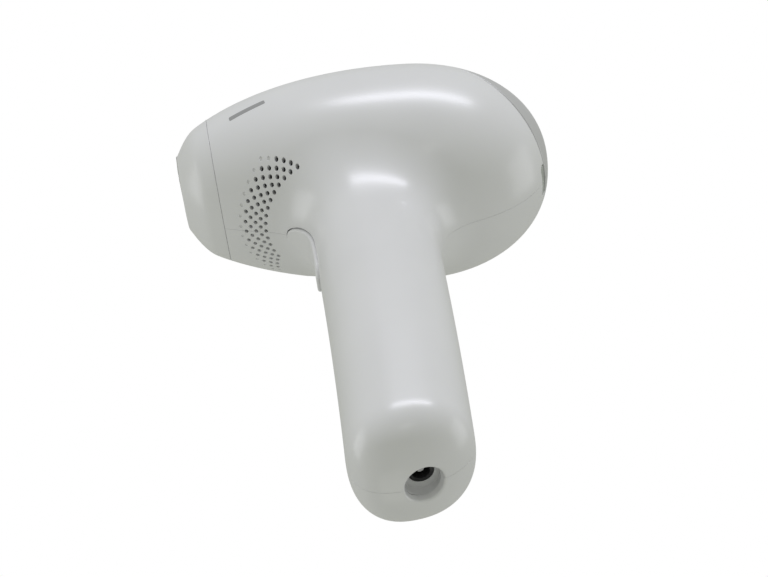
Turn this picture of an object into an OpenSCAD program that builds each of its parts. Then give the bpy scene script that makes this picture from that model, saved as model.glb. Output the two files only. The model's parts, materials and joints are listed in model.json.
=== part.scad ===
// Hand-held light-flash hair remover. Millimetres, +Z up, -Y towards the skin window.
// Origin: centre of the flat face of the metal window frame that rests on the skin.

/* [Head] */
// Widest half width of the head
head_half_w = 35; // [31:0.5:40]
// Widest half height of the head
head_half_h = 36.5; // [32:0.5:41]
// Head centre behind the origin
head_y = 75.5; // [68:0.5:84]
// Head centre above the origin
head_z = 4.2; // [0:0.1:8]
// Length of the front half ellipsoid
nose_len = 86; // [80:0.5:92]
// Length of the rear half ellipsoid
tail_len = 46; // [42:0.5:50]
// Fullness of the rear curve
tail_power = 2.15; // [2:0.05:2.6]
// Drop of the head's centre line 60 mm ahead of its centre
nose_drop = 2.8; // [0:0.1:5]
// Narrowing of the head 75 mm ahead of its centre, as a share of its width
nose_pinch = 0.07; // [0:0.01:0.15]
// Downward tilt of the skin face
face_tilt = 14; // [0:0.5:18]
// Depth of the attachment from the skin face to its seam
seam_depth = 12; // [10:0.5:16]
// Wall of the moulded shells
wall = 2.2; // [1.8:0.1:2.8]

/* [Handle] */
// Handle axis start behind the origin
grip_y = 59.7; // [55:0.1:65]
// Backward lean of the handle
grip_lean = 11.4; // [6:0.2:16]
// Handle length from the head axis to the rounded end
grip_len = 156.5; // [140:0.5:165]
// Half width at the top of the handle
grip_w_top = 19.6; // [17:0.1:22]
// Half width at the end of the handle
grip_w_end = 17.9; // [15:0.1:20]
// Half depth at the top of the handle
grip_d_top = 19.2; // [17:0.1:22]
// Half depth at the end of the handle
grip_d_end = 16.5; // [14:0.1:20]
// Forward bow of the handle at its end
grip_bow = 3.4; // [0:0.1:6]
// Height of the rounded end
dome_len = 14; // [10:0.5:18]
// Slope of the rounded end, which is shorter at the back
end_slant = 0.13; // [0:0.01:0.2]
// Spread of the neck fillet at the front and rear
neck_blend = 15; // [8:0.5:18]
// Spread of the neck fillet at the sides
neck_side = 8.5; // [5:0.5:10]

/* [Controls] */
// Distance of the control panel's edge plane from the head centre
panel_cut = 22.84; // [18:0.1:28]
// Backward tilt of the control panel
panel_tilt = 40; // [30:0.2:55]
// Gap around moving buttons
button_gap = 0.35; // [0.2:0.05:0.5]
// Power button radius
power_r = 7; // [5:0.5:9]
// Intensity button radius
level_r = 5; // [4:0.5:6]
// Flash trigger half width
trigger_w = 5.2; // [4.5:0.1:8]
// Flash trigger half length
trigger_h = 16; // [12:0.5:18]
// How far the trigger stands proud
trigger_rise = 1; // [0.5:0.1:1.5]

/* [Vents] */
// Holes along each row
vent_holes = 6; // [3:1:8]
// Rows of holes
vent_rows = 14; // [8:1:18]
// Hole radius
vent_r = 0.75; // [0.5:0.05:1]

/* [Power inlet] */
// Inlet recess radius
inlet_r = 5.3; // [4.5:0.1:8]
// Inlet recess depth below the shell
inlet_depth = 3; // [2:0.5:8]
// Tilt of the inlet recess
inlet_tilt = 15.6; // [8:0.2:20]
// Distance of the inlet behind the middle of the handle end
inlet_back = 2.7; // [0:0.1:4]

/* [Hidden] */
fine = 48;
head_n = 44;
grip_n = 32;
inner_n = 28;
eps = 0.01;
big = 200;
grip_power = 2.3;
dome_power = 2.4;
bow_from = 30;
head_pos = [0, head_y, head_z];

// Shape of the head: scale of its cross-section at distance d behind its centre.
function front_k(d, g) = sqrt(max(0, 1 - pow(-d / (nose_len + g), 2)));
function rear_k(d, g) = pow(max(0, 1 - pow(d / (tail_len + g), tail_power)), 1 / tail_power);
function head_k(d, g) = d < 0 ? front_k(d, g) : rear_k(d, g);
function side_k(d, g) = head_k(d, g) * (d < 0 ? 1 - nose_pinch * pow(-d / 75, 5) : 1);
function mid_z(d) = d < 0 ? -nose_drop * pow(d / 60, 2) : 0;
function head_point(d, g, a) = [
  (head_half_w + g) * side_k(d, g) * cos(a),
  head_y + d,
  head_z + mid_z(d) + (head_half_h + g) * head_k(d, g) * sin(a)
];
// Below zero inside the head grown by g, above zero outside.
function head_f(p, g) = let(d = p.y - head_y, k = max(head_k(d, g), 0.001), kx = max(side_k(d, g), 0.001))
  pow(p.x / ((head_half_w + g) * kx), 2)
  + pow((p.z - head_z - mid_z(d)) / ((head_half_h + g) * k), 2) - 1;
function slope(p, v) = (head_f(p + v * 0.1, 0) - head_f(p - v * 0.1, 0)) / 0.2;
function unit(v) = v / norm(v);
function head_normal(p) = unit([slope(p, [1, 0, 0]), slope(p, [0, 1, 0]), slope(p, [0, 0, 1])]);
// Distance along unit vector v from p to the head's surface, between lo (inside) and hi.
function reach(p, v, g, lo, hi, n = 16) = n == 0 ? (lo + hi) / 2
  : let(m = (lo + hi) / 2) head_f(p + v * m, g) < 0
    ? reach(p, v, g, m, hi, n - 1) : reach(p, v, g, lo, m, n - 1);

// Shape of the handle.
down = [0, sin(grip_lean), -cos(grip_lean)];
back = [0, cos(grip_lean), sin(grip_lean)];
function bow(s) = s < bow_from ? 0 : -grip_bow * pow((s - bow_from) / (grip_len - bow_from), 2);
function grip_axis(s) = [0, grip_y, head_z] + down * s + back * bow(s);
function share(s) = (s - bow_from) / (grip_len - bow_from);
function round_x(a) = sign(cos(a)) * pow(abs(cos(a)), 2 / grip_power);
function round_y(a) = sign(sin(a)) * pow(abs(sin(a)), 2 / grip_power);
function grip_offset(s, g, a) =
  [1, 0, 0] * (grip_w_top + (grip_w_end - grip_w_top) * share(s) + g) * round_x(a)
  + back * (grip_d_top + (grip_d_end - grip_d_top) * share(s) + g) * round_y(a);
function grip_point(s, g, a) = grip_axis(s) + grip_offset(s, g, a);
function dome_k(z) = pow(max(0, 1 - pow(z, dome_power)), 1 / dome_power);
function dome_point(t, g, a) = let(
  z = sin(t),
  s = grip_len + g - dome_len + dome_len * z,
  out = grip_offset(s, g, a) * dome_k(z)
) grip_axis(s) + out - down * (end_slant * z * (out * back));
function spread(a, g) = neck_side + (neck_blend - neck_side) * pow(sin(a), 2) - g * 0.4;
// Neck fillet: a curve tangent to the head at one end and to the handle at the other.
function neck_foot(g, a) = let(
  side = unit(grip_offset(50, g, a)),
  q = grip_point(20, g, a) + side * spread(a, g)
) q + down * reach(q, down, g, 0, 60);
function neck_corner(g, a) = let(
  f = neck_foot(g, a),
  n = head_normal(f),
  q = grip_point(20, g, a),
  s = ((f - q) * n) / (down * n)
) q + down * max(s, 8);
function neck_curve(t, g, a) = let(
  f = neck_foot(g, a),
  c = neck_corner(g, a),
  s = (c - [0, grip_y, head_z]) * down + norm(f - c),
  e = grip_point(s, g, a)
) f * pow(1 - t, 2) + c * 2 * t * (1 - t) + e * t * t;
function neck_end(g) = max([for (i = [0:grip_n - 1]) let(
  a = 360 * i / grip_n, f = neck_foot(g, a), c = neck_corner(g, a)
) (c - [0, grip_y, head_z]) * down + norm(f - c)]) + 0.5;

// A closed solid from a list of rings that all have the same number of points.
module skin(rings) {
  n = len(rings[0]);
  m = len(rings);
  points = [for (r = rings) each r];
  sides = [for (j = [0:m - 2], i = [0:n - 1]) let(k = (i + 1) % n) each [
    [j * n + i, j * n + k, (j + 1) * n + k],
    [j * n + i, (j + 1) * n + k, (j + 1) * n + i]
  ]];
  first = [[for (i = [n - 1:-1:0]) i]];
  last = [[for (i = [0:n - 1]) (m - 1) * n + i]];
  polyhedron(points, concat(sides, first, last), convexity = 6);
}

module head_solid(g, n = head_n, from = -70) {
  steps = concat(
    [for (i = [0:7]) from + (-9 - from) * i / 7],
    [for (t = [0:11:66]) (tail_len + g) * sin(t)],
    [for (t = [73, 80, 85, 88]) (tail_len + g) * sin(t)]
  );
  skin([for (d = steps) [for (i = [0:n - 1]) head_point(d, g, 360 * i / n)]]);
}

module grip_solid(g, n = grip_n) {
  s_neck = neck_end(g);
  s_dome = grip_len + g - dome_len;
  ts = [for (i = [0:5]) i / 5];
  rings = concat(
    [[for (i = [0:n - 1]) grip_point(12, g - 2, 360 * i / n)]],
    [[for (i = [0:n - 1]) let(a = 360 * i / n, f = neck_foot(g, a)) f - head_normal(f) * 1.4 - down * 0.3]],
    [for (t = ts) [for (i = [0:n - 1]) neck_curve(t, g, 360 * i / n)]],
    [for (j = [1:4]) let(s = s_neck + (s_dome - s_neck) * j / 4)
      [for (i = [0:n - 1]) grip_point(s, g, 360 * i / n)]],
    [for (t = [18:14:74]) [for (i = [0:n - 1]) dome_point(t, g, 360 * i / n)]],
    [for (t = [81, 86]) [for (i = [0:n - 1]) dome_point(t, g, 360 * i / n)]]
  );
  skin(rings);
}

module body_solid(g, n_head = head_n, n_grip = grip_n) {
  head_solid(g, n_head);
  grip_solid(g, n_grip);
}

// Keeps a freeform piece as one mesh.
module as_mesh() {
  resize([0, 0, 0]) children();
}

// Frames: window (local -Y leaves the window), panel, handle, trigger and inlet.
module at_front() {
  rotate([face_tilt, 0, 0]) children();
}

module at_panel() {
  translate(head_pos) rotate([-panel_tilt, 0, 0]) children();
}

module at_grip(s) {
  translate([0, grip_y, head_z] + down * s) rotate([grip_lean, 0, 0]) children();
}

trigger_pos = [0, 47.55, -45.5];
trigger_turn = 112.6;
module at_trigger() {
  translate(trigger_pos) rotate([trigger_turn, 0, 0]) children();
}

module at_inlet() {
  translate(grip_axis(grip_len) + back * inlet_back) rotate([inlet_tilt, 0, 0]) children();
}

ready_dir = [0, 0.979, -0.205];
ready_pos = head_pos + ready_dir * reach(head_pos, ready_dir, 0, 10, 60);
ready_normal = head_normal(ready_pos);
ready_turn = atan2(-ready_normal.y, ready_normal.z);
module at_ready() {
  translate(ready_pos) rotate([ready_turn, 0, 0]) children();
}

// Height of the outer surface above the head centre at panel position [x, y].
panel_up = [0, sin(panel_tilt), cos(panel_tilt)];
panel_along = [0, cos(panel_tilt), -sin(panel_tilt)];
function panel_h(x, y) = let(q = head_pos + [x, 0, 0] + panel_along * y) reach(q, panel_up, 0, 10, 60);

module slab(w, l, h, r) {
  linear_extrude(h) {
    square([2 * w, 2 * (l - r)], center = true);
    square([2 * (w - r), 2 * l], center = true);
    for (x = [-1, 1], y = [-1, 1]) translate([x * (w - r), y * (l - r)]) circle(r, $fn = fine);
  }
}

// Rounded bar in the window frame's axes: half width, half height, from depth y0 to y1.
module window_slab(w, h, y0, y1, r) {
  translate([0, y1, 0]) rotate([90, 0, 0]) slab(w, h, y1 - y0, r);
}

module pill(w, l, h) {
  translate([0, 0, -h / 2]) slab(w, l, h, min(w, l) - 0.05);
}

// Outline of the trigger: straight sides and ends that narrow to a round tip.
module tongue(w, l, h) {
  q = 2.6;
  translate([0, 0, -h / 2]) linear_extrude(h) polygon([for (i = [0:39]) let(a = i * 9) [
    w * sign(cos(a)) * pow(abs(cos(a)), 2 / q), l * sign(sin(a)) * pow(abs(sin(a)), 2 / 2.2)
  ]]);
}

module block(x, y, z) {
  translate([x[0], y[0], z[0]]) cube([x[1] - x[0], y[1] - y[0], z[1] - z[0]]);
}

// Cylinder between two points, with round ends when it is a wire.
module rod(p, q, r, fn = 10) {
  v = q - p;
  translate(p) rotate([0, acos(v.z / norm(v)), atan2(v.y, v.x)]) cylinder(r = r, h = norm(v), $fn = fn);
}

module wire(pts, r) {
  for (i = [0:len(pts) - 2]) rod(pts[i], pts[i + 1], r);
  for (i = [1:len(pts) - 2]) translate(pts[i]) sphere(r, $fn = 10);
}

// Vents: rows that wind round a point under the head.
vent_y = 55.9;
vent_r0 = 23.2;
vent_step_r = 1.65;
vent_step_a = 3.7;
vent_first = 61.3;
vent_pitch = 6.7;
function vent_at(row, k) = let(
    a = vent_first - vent_pitch * row - vent_step_a * k,
    r = vent_r0 + vent_step_r * k
  )
  [r * sin(a), vent_y - r * cos(a)];

module vents() {
  for (row = [0:vent_rows - 1], k = [0:vent_holes - 1]) {
    p = vent_at(row, k);
    translate([p.x, p.y, -42]) rotate([0, 0, 30]) cylinder(r = vent_r, h = 26, $fn = 6);
  }
}

// Casing screws: [y, z] of each boss, and the depth of the head recess.
screws = [[37, 27], [104.5, -9], [81.9, -114.8], [44, -17]];
screw_face = 9;
screw_r = 1.45;
boss_r = 3.4;
function screw_at(i) = [0, screws[i][0], screws[i][1]];

module bosses(side) {
  intersection() {
    body_solid(-wall + 0.6, inner_n, inner_n);
    for (i = [0:3]) translate(screw_at(i)) rotate([0, 90 * side, 0]) cylinder(r = boss_r, h = 40, $fn = 24);
  }
}

module screw_holes(side) {
  for (i = [0:3]) translate(screw_at(i)) rotate([0, 90 * side, 0]) {
    if (side > 0) translate([0, 0, -eps]) cylinder(r = screw_r + 0.1, h = 9, $fn = 24);
    if (side < 0) {
      translate([0, 0, -eps]) cylinder(r = 1.75, h = 40, $fn = 24);
      translate([0, 0, screw_face]) cylinder(r = 3, h = 40, $fn = 24);
    }
  }
}

panel_gap = 0.15;
module above_panel(z) {
  at_panel() translate([-60, -60, z]) cube([120, 120, 60]);
}

module panel_seat() {
  intersection() {
    difference() {
      head_solid(-wall - 0.25, inner_n);
      head_solid(-wall - 2.2, inner_n);
    }
    at_panel() translate([-60, -60, panel_cut - 5]) cube([120, 120, 8]);
  }
}

module seat_link() {
  intersection() {
    difference() {
      head_solid(-wall + 0.5, inner_n);
      head_solid(-wall - 2.2, inner_n);
    }
    at_panel() translate([-60, -60, panel_cut - 5]) cube([120, 120, 4]);
  }
}

module ahead(depth) {
  at_front() translate([-60, -60, -60]) cube([120, 60 + depth, 120]);
}

module inlet_boss() {
  intersection() {
    body_solid(-wall + 0.6, inner_n, inner_n);
    at_inlet() cylinder(r = inlet_r + 3.6, h = inlet_depth + 3.5, $fn = fine);
  }
}

module housing(side) {
  as_mesh() difference() {
    union() {
      difference() {
        body_solid(0);
        body_solid(-wall - 0.02, inner_n, inner_n);
        above_panel(panel_cut - panel_gap);
      }
      panel_seat();
      seat_link();
      bosses(side);
      inlet_boss();
    }
    translate([side > 0 ? -big : 0, -big, -big]) cube([big, 2 * big, 2 * big]);
    ahead(seam_depth + 0.1);
    vents();
    screw_holes(side);
    at_trigger() tongue(trigger_w + button_gap, trigger_h + button_gap, 50);
    at_ready() pill(5.45, 1.8, 20);
    at_inlet() inlet_space();
    side_mark_bar(0.6, -0.35);
  }
}

module inlet_space() {
  translate([0, 0, -20]) cylinder(r = inlet_r, h = 30, $fn = fine);
  translate([0, 0, inlet_lip]) cylinder(r = inlet_r + 1.35, h = 30, $fn = fine);
}

module housing_right() {
  color([0.93, 0.93, 0.94]) housing(1);
}

module housing_left() {
  color([0.93, 0.93, 0.94]) housing(-1);
}

module panel_hole(x, y, r) {
  at_panel() translate([x, y, 10]) rotate([0, 0, 1]) cylinder(r = r, h = 60, $fn = fine);
}

power_at = [0, -13];
up_at = [10.5, 9.5];
down_at = [-10.5, 9.5];
light_y = 0.5;
light_r = 1.2;
light_x = [-10, -5, 0, 5, 10];
module control_panel() {
  color([0.66, 0.67, 0.69]) as_mesh() difference() {
    intersection() {
      head_solid(0);
      above_panel(panel_cut + panel_gap);
    }
    head_solid(-wall, inner_n);
    panel_hole(power_at.x, power_at.y, power_r + button_gap);
    panel_hole(up_at.x, up_at.y, level_r + button_gap);
    panel_hole(down_at.x, down_at.y, level_r + button_gap);
    for (x = light_x) panel_hole(x, light_y, light_r + 0.1);
  }
}

board_z = 22.4;
board_t = 1.4;
switch_h = 3.4;
switch_top = board_z + board_t + switch_h;
button_rise = 0.6;
button_travel = 0.6;
module button(at, r) {
  top = panel_h(at.x, at.y);
  as_mesh() intersection() {
    difference() {
      head_solid(button_rise);
      head_solid(button_rise - 2.4, inner_n);
    }
    panel_hole(at.x, at.y, r);
  }
  at_panel() translate([at.x, at.y, switch_top + button_travel + 0.1])
    cylinder(r = 2, h = top - 2.6 - switch_top - button_travel, $fn = fine);
}

module power_button() {
  color([0.9, 0.9, 0.91]) button(power_at, power_r);
}

module intensity_up_button() {
  color([0.9, 0.9, 0.91]) button(up_at, level_r);
}

module intensity_down_button() {
  color([0.9, 0.9, 0.91]) button(down_at, level_r);
}

led_top = board_z + board_t + 2.2;
module intensity_lights() {
  color([0.75, 0.86, 0.78, 0.6]) at_panel() for (x = light_x)
    translate([x, light_y, led_top + 0.3])
      cylinder(r = light_r, h = panel_h(x, light_y) - led_top - 0.2, $fn = fine);
}

module intensity_leds() {
  color([0.95, 0.95, 0.9]) at_panel() for (x = light_x)
    translate([x, light_y, board_z + board_t]) cylinder(r = 1, h = led_top - board_z - board_t, $fn = fine);
}

board_r = 20.5;
board_y = 1.5;
module control_board() {
  color([0.1, 0.35, 0.22]) at_panel() translate([0, board_y, board_z]) difference() {
    cylinder(r = board_r, h = board_t, $fn = fine);
    for (x = [-17, 17]) translate([x, -4, -1]) cylinder(r = 1.2, h = 4, $fn = fine);
  }
}

module button_switches() {
  color([0.15, 0.15, 0.16]) at_panel() for (at = [power_at, up_at, down_at])
    translate([at.x, at.y, board_z + board_t]) {
      translate([-3, -3, 0]) cube([6, 6, 2.6]);
      cylinder(r = 1.5, h = switch_h, $fn = fine);
    }
}

module ready_light_window() {
  color([0.72, 0.74, 0.66, 0.7]) at_ready() translate([0, 0, -1.9]) pill(5.3, 1.65, 2.6);
}

module ready_led() {
  color([0.93, 0.93, 0.88]) at_ready() {
    block([-7, 7], [-3, 3], [-8.2, -7.2]);
    for (x = [-3, 3]) block([x - 1.3, x + 1.3], [-1.2, 1.2], [-7.2, -5.4]);
  }
}

// Trigger: a long button that follows the neck, with a flange behind the shell.
module flash_trigger() {
  color([0.91, 0.91, 0.92]) {
    as_mesh() {
      intersection() {
        difference() {
          body_solid(trigger_rise);
          body_solid(-wall - 1.2);
        }
        at_trigger() translate([0, 0, 4]) tongue(trigger_w, trigger_h, 36);
      }
      intersection() {
        difference() {
          body_solid(-wall - 0.35);
          body_solid(-wall - 1.6);
        }
        at_trigger() translate([0, 0, 4]) tongue(trigger_w + 1.4, trigger_h - 1, 36);
      }
    }
    at_trigger() translate([0, 0, switch_front + 0.05]) cylinder(r = 1.6, h = stem_h, $fn = fine);
  }
}

switch_front = -12;
stem_h = 6.5;
spring_h = 6.4;
spring_turns = 4;
spring_r = 3;
wire_r = 0.35;
module trigger_spring() {
  color([0.75, 0.76, 0.78]) at_trigger() translate([0, 0, switch_front - 1.4])
    skin([for (i = [0:spring_turns * 14]) let(
      a = i * 360 / 14,
      z = wire_r + (spring_h - 2 * wire_r) * i / (spring_turns * 14)
    ) [for (j = [0:6]) let(
      b = j * 360 / 7,
      r = spring_r + wire_r * cos(b)
    ) [r * cos(a), r * sin(a), z + wire_r * sin(b)]]]);
}

module flash_switch() {
  color([0.12, 0.12, 0.13]) at_trigger() difference() {
    block([-3.2, 3.2], [-6.5, 6.5], [switch_front - 8, switch_front - 1.5]);
    for (y = [-4.8, 4.8]) translate([-5, y, switch_front - 6]) rotate([0, 90, 0])
      cylinder(r = 1, h = 10, $fn = fine);
    translate([0, 0, switch_front - 4]) cylinder(r = 1.25, h = 5, $fn = fine);
  }
}

module flash_switch_plunger() {
  color([0.7, 0.2, 0.15]) at_trigger() translate([0, 0, switch_front - 2.7])
    cylinder(r = 1.2, h = 2.7, $fn = fine);
}

// Attachment that slides off the front.
function nose_r(c, a) = let(
  v = [cos(a), 0, sin(a)],
  t = face_tilt,
  q = [0, c * cos(t), c * sin(t)],
  w = [v.x, -v.z * sin(t), v.z * cos(t)]
) reach(q, w, 0, 2, 40);
nose_rings = [
  [seam_depth - 0.1, 1], [9, 1], [7.6, 0.998], [6.7, 0.993], [5.9, 0.982], [5.1, 0.965], [4.3, 0.942],
  [3.5, 0.912], [2.8, 0.881], [2.1, 0.844], [1.5, 0.806], [0.94, 0.768], [0.6, 0.745], [0.4, 0.73],
  [0.3, 0.71]
];
module nose_solid() {
  rings = [for (q = nose_rings) [for (i = [0:head_n - 1])
    let(a = 360 * i / head_n, r = nose_r(q[0], a) * q[1]) [r * cos(a), q[0], r * sin(a)]]];
  skin([for (r = rings) [for (i = [head_n - 1:-1:0]) r[i]]]);
}

frame_w = 9.8;
frame_h = 7.4;
glow_w = 8.3;
glow_h = 5.8;
clip_x = 17.2;
module attachment_shell() {
  color([0.94, 0.94, 0.95]) at_front() as_mesh() {
    difference() {
      nose_solid();
      translate([0, 4.4, 0]) rotate([-90, 0, 0])
        cylinder(r1 = 16, r2 = 21.3, h = seam_depth - 4.3, $fn = 40);
      window_slab(frame_w + 0.1, frame_h + 0.1, -2, 1.9, 3.5);
      window_slab(glow_w + 1, glow_h + 1, -2, 6, 2);
    }
    difference() {
      for (m = [0, 1]) mirror([m, 0, 0]) {
        block([clip_x - 2, clip_x], [4, seam_depth + 4], [-3.5, 3.5]);
        block([clip_x - 0.2, clip_x + 0.6], [seam_depth + 2.8, seam_depth + 4], [-3.5, 3.5]);
      }
      block([-5, 5], [0, 1], [-5, 5]);
    }
    block([-5, 5], [6.5, seam_depth - 0.8], [12.6, 17.4]);
  }
}

module window_frame() {
  color([0.72, 0.72, 0.74]) at_front() difference() {
    union() {
      window_slab(frame_w, frame_h, 0, 1.8, 3.4);
      window_slab(glow_w + 0.9, glow_h + 0.9, 1, 12, 1.9);
    }
    window_slab(glow_w, glow_h, -1, 13, 1.2);
  }
}

pin_x = [-3, 0, 3];
module attachment_contacts() {
  color([0.85, 0.66, 0.25]) at_front() for (x = pin_x)
    block([x - 0.9, x + 0.9], [seam_depth - 0.8, seam_depth - 0.5], [14, 17]);
}

bezel_y = seam_depth + 0.3;
bezel_t = 2;
module front_bezel() {
  color([0.2, 0.2, 0.21]) at_front() difference() {
    union() {
      translate([0, bezel_y, -1.8]) rotate([-90, 0, 0]) cylinder(r = 19.6, h = bezel_t, $fn = fine);
      window_slab(13.4, 10.4, 7.5, bezel_y + 1, 4.4);
    }
    window_slab(11.2, 8.2, 6, 20, 2.4);
    for (m = [0, 1]) mirror([m, 0, 0])
      block([clip_x - 2.4, clip_x + 0.9], [bezel_y - 1, bezel_y + 4], [-4, 4]);
    for (x = pin_x) translate([x, bezel_y - 1, 15.5]) rotate([-90, 0, 0])
      cylinder(r = 0.8, h = 5, $fn = fine);
  }
}

module contact_pins() {
  color([0.88, 0.7, 0.3]) at_front() for (x = pin_x)
    translate([x, seam_depth - 0.45, 15.5]) rotate([-90, 0, 0]) cylinder(r = 0.7, h = 5, $fn = fine);
}

glass_w = 12;
glass_h = 9;
glass_y = bezel_y + bezel_t;
module window_glass() {
  color([0.75, 0.82, 0.85, 0.45]) at_front() window_slab(glass_w, glass_h, glass_y + 0.05, glass_y + 2, 1);
}

module filter_glass() {
  color([0.85, 0.45, 0.25, 0.5]) at_front() window_slab(glass_w, glass_h, glass_y + 2.4, glass_y + 3.6, 1);
}

lamp_y = 29.5;
dish_depth = 13;
dish_half = 9.5;
dish_x = 14;
dish_n = 14;
dish_back = lamp_y + 3.6;
function dish(t, g) = [dish_back + g - dish_depth * t * t, dish_half * t + g * sign(t)];
module lamp_reflector() {
  color([0.85, 0.86, 0.88]) at_front() rotate([90, 0, 90]) translate([0, 0, -dish_x])
    linear_extrude(2 * dish_x) polygon(concat(
      [for (i = [-dish_n:dish_n]) dish(i / dish_n, 0)],
      [for (i = [dish_n:-1:-dish_n]) dish(i / dish_n, 0.7)]
    ));
}

module across(x0, x1, r, y, z = 0) {
  translate([x0, y, z]) rotate([0, 90, 0]) cylinder(r = r, h = x1 - x0, $fn = fine);
}

lamp_half = 16.5;
module flash_lamp() {
  color([0.8, 0.85, 0.88, 0.35]) at_front() difference() {
    across(-lamp_half, lamp_half, 2.4, lamp_y);
    across(-lamp_half - 1, lamp_half + 1, 1.7, lamp_y);
  }
}

module lamp_electrodes() {
  color([0.6, 0.6, 0.62]) at_front() for (m = [0, 1]) mirror([m, 0, 0]) {
    across(lamp_half - 5, lamp_half + 0.5, 1.4, lamp_y);
    across(lamp_half + 0.1, lamp_half + 1.4, 2.4, lamp_y);
  }
}

box_w = 19.5;
box_h = 11.5;
box_front = 25;
box_back = 37;
module lamp_holders() {
  color([0.93, 0.92, 0.88]) at_front() for (m = [0, 1]) mirror([m, 0, 0]) difference() {
    block([dish_x + 0.5, lamp_half - 0.4], [lamp_y - 2.3, lamp_y + 4], [-5, 5]);
    across(dish_x, lamp_half + 1, 2.5, lamp_y);
  }
}

module optical_housing() {
  color([0.28, 0.27, 0.26]) at_front() difference() {
    union() {
      block([-box_w, box_w], [box_front, box_back], [-box_h, box_h]);
      block([-glass_w - 3, glass_w + 3], [glass_y + 0.05, box_front + 1], [-11, 11]);
    }
    block([-box_w + 1.5, box_w - 1.5], [box_front + 1.5, box_back + 1], [-box_h + 1.5, box_h - 1.5]);
    block([-dish_x - 0.2, dish_x + 0.2], [glass_y + 4, box_front + 3], [-10.4, 10.4]);
    block([-glass_w - 0.1, glass_w + 0.1], [glass_y - 1, glass_y + 3.7], [-glass_h - 0.1, glass_h + 0.1]);
    block([-glass_w + 1, glass_w - 1], [glass_y - 1, glass_y + 5], [-glass_h + 1, glass_h - 1]);
    block([-12, 12], [box_front + 2.5, box_back - 2], [-box_h - 1, box_h + 1]);
  }
}

sink_w = 18;
sink_h = 10;
fin_pitch = 4.375;
module heat_sink() {
  color([0.78, 0.79, 0.8]) at_front() {
    block([-sink_w, sink_w], [box_back + 0.1, box_back + 2.1], [-sink_h, sink_h]);
    for (i = [0:8]) translate([i * fin_pitch, 0, 0])
      block([-sink_w, -sink_w + 1], [box_back + 2, box_back + 8], [-sink_h, sink_h]);
  }
}

fan_y = 50;
fan_t = 10;
fan_half = 20;
fan_z = -7;
module air_duct() {
  color([0.24, 0.24, 0.25]) at_front() difference() {
    block([-20.2, 20.2], [box_back + 2.4, fan_y - 0.1], [-14.2, 12.2]);
    block([-19, 19], [box_back + 1, fan_y + 1], [-13, 11]);
  }
}

module at_fan() {
  at_front() translate([0, fan_y, fan_z]) rotate([-90, 0, 0]) children();
}

module fan_housing() {
  color([0.1, 0.1, 0.11]) at_fan() {
    difference() {
      translate([-fan_half, -fan_half, 0]) cube([2 * fan_half, 2 * fan_half, fan_t]);
      translate([0, 0, -1]) cylinder(r = 18.6, h = fan_t + 2, $fn = fine);
      for (x = [-16, 16], y = [-16, 16]) translate([x, y, -1])
        cylinder(r = 2.15, h = fan_t + 2, $fn = fine);
    }
    difference() {
      translate([0, 0, fan_t - 1.7]) cylinder(r = 9, h = 1.5, $fn = fine);
      translate([0, 0, fan_t - 3]) cylinder(r = 3, h = 4, $fn = fine);
    }
    for (a = [0:120:240]) rotate([0, 0, a]) translate([8.5, -1, fan_t - 1.6]) cube([10.8, 2, 1.3]);
  }
}

module fan_motor() {
  color([0.7, 0.45, 0.25]) at_fan() {
    translate([0, 0, 1.6]) cylinder(r = 1, h = fan_t - 1.6, $fn = fine);
    translate([0, 0, 3.2]) cylinder(r = 6.6, h = 4, $fn = fine);
    translate([0, 0, 3.2]) cylinder(r = 2.9, h = fan_t - 3.3, $fn = fine);
  }
}

module fan_rotor() {
  color([0.14, 0.14, 0.15]) at_fan() difference() {
    union() {
      translate([0, 0, 1]) cylinder(r = 9, h = 7, $fn = fine);
      for (a = [0:360 / 7:359]) rotate([0, 0, a]) translate([8.2, 0, 4.4]) rotate([38, 0, 0])
        translate([0, -4.2, -0.45]) cube([9.4, 8.4, 0.9]);
    }
    translate([0, 0, 2.2]) cylinder(r = 7.8, h = 8, $fn = fine);
    cylinder(r = 1.05, h = 12, $fn = fine);
  }
}

// Electronics in the rear of the head.
pcb_z = -10;
pcb_t = 1.6;
pcb_top = pcb_z + pcb_t;
module main_board() {
  color([0.1, 0.36, 0.22]) difference() {
    block([-21, 21], [72, 100], [pcb_z, pcb_top]);
    for (x = [-18, 18], y = [75, 97]) translate([x, y, pcb_z - 1]) cylinder(r = 1.3, h = 4, $fn = fine);
  }
}

module transformer_core() {
  color([0.22, 0.22, 0.24]) difference() {
    block([-19, -1], [76, 94], [pcb_top, pcb_top + 15]);
    block([-20, 0], [79.5, 90.5], [pcb_top + 3, pcb_top + 12]);
  }
}

module transformer_coil() {
  color([0.75, 0.5, 0.2]) block([-17.5, -2.5], [79.7, 90.3], [pcb_top + 3.2, pcb_top + 11.8]);
}

module trigger_coil() {
  color([0.55, 0.32, 0.18]) {
    across(3, 17, 4, 81, pcb_top + 5);
    across(2, 3.2, 5, 81, pcb_top + 5);
    across(16.8, 18, 5, 81, pcb_top + 5);
  }
}

module board_capacitors() {
  color([0.2, 0.22, 0.3]) for (x = [4.5, 12]) translate([x, 90, pcb_top])
    cylinder(r = 3, h = 9, $fn = fine);
}

module power_transistor() {
  color([0.16, 0.16, 0.17]) {
    block([2, 12], [95.4, 99], [pcb_top, pcb_top + 9]);
    block([2, 12], [98.6, 99.8], [pcb_top, pcb_top + 14]);
  }
}

// Power store in the handle.
cap_top = 60;
cap_len = 56;
cap_r = 12.4;
module main_capacitor() {
  color([0.16, 0.24, 0.4]) at_grip(cap_top) translate([0, -0.8, -cap_len]) {
    cylinder(r = cap_r, h = cap_len - 3, $fn = fine);
    translate([0, 0, cap_len - 3]) cylinder(r = cap_r - 0.6, h = 3, $fn = fine);
  }
}

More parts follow.
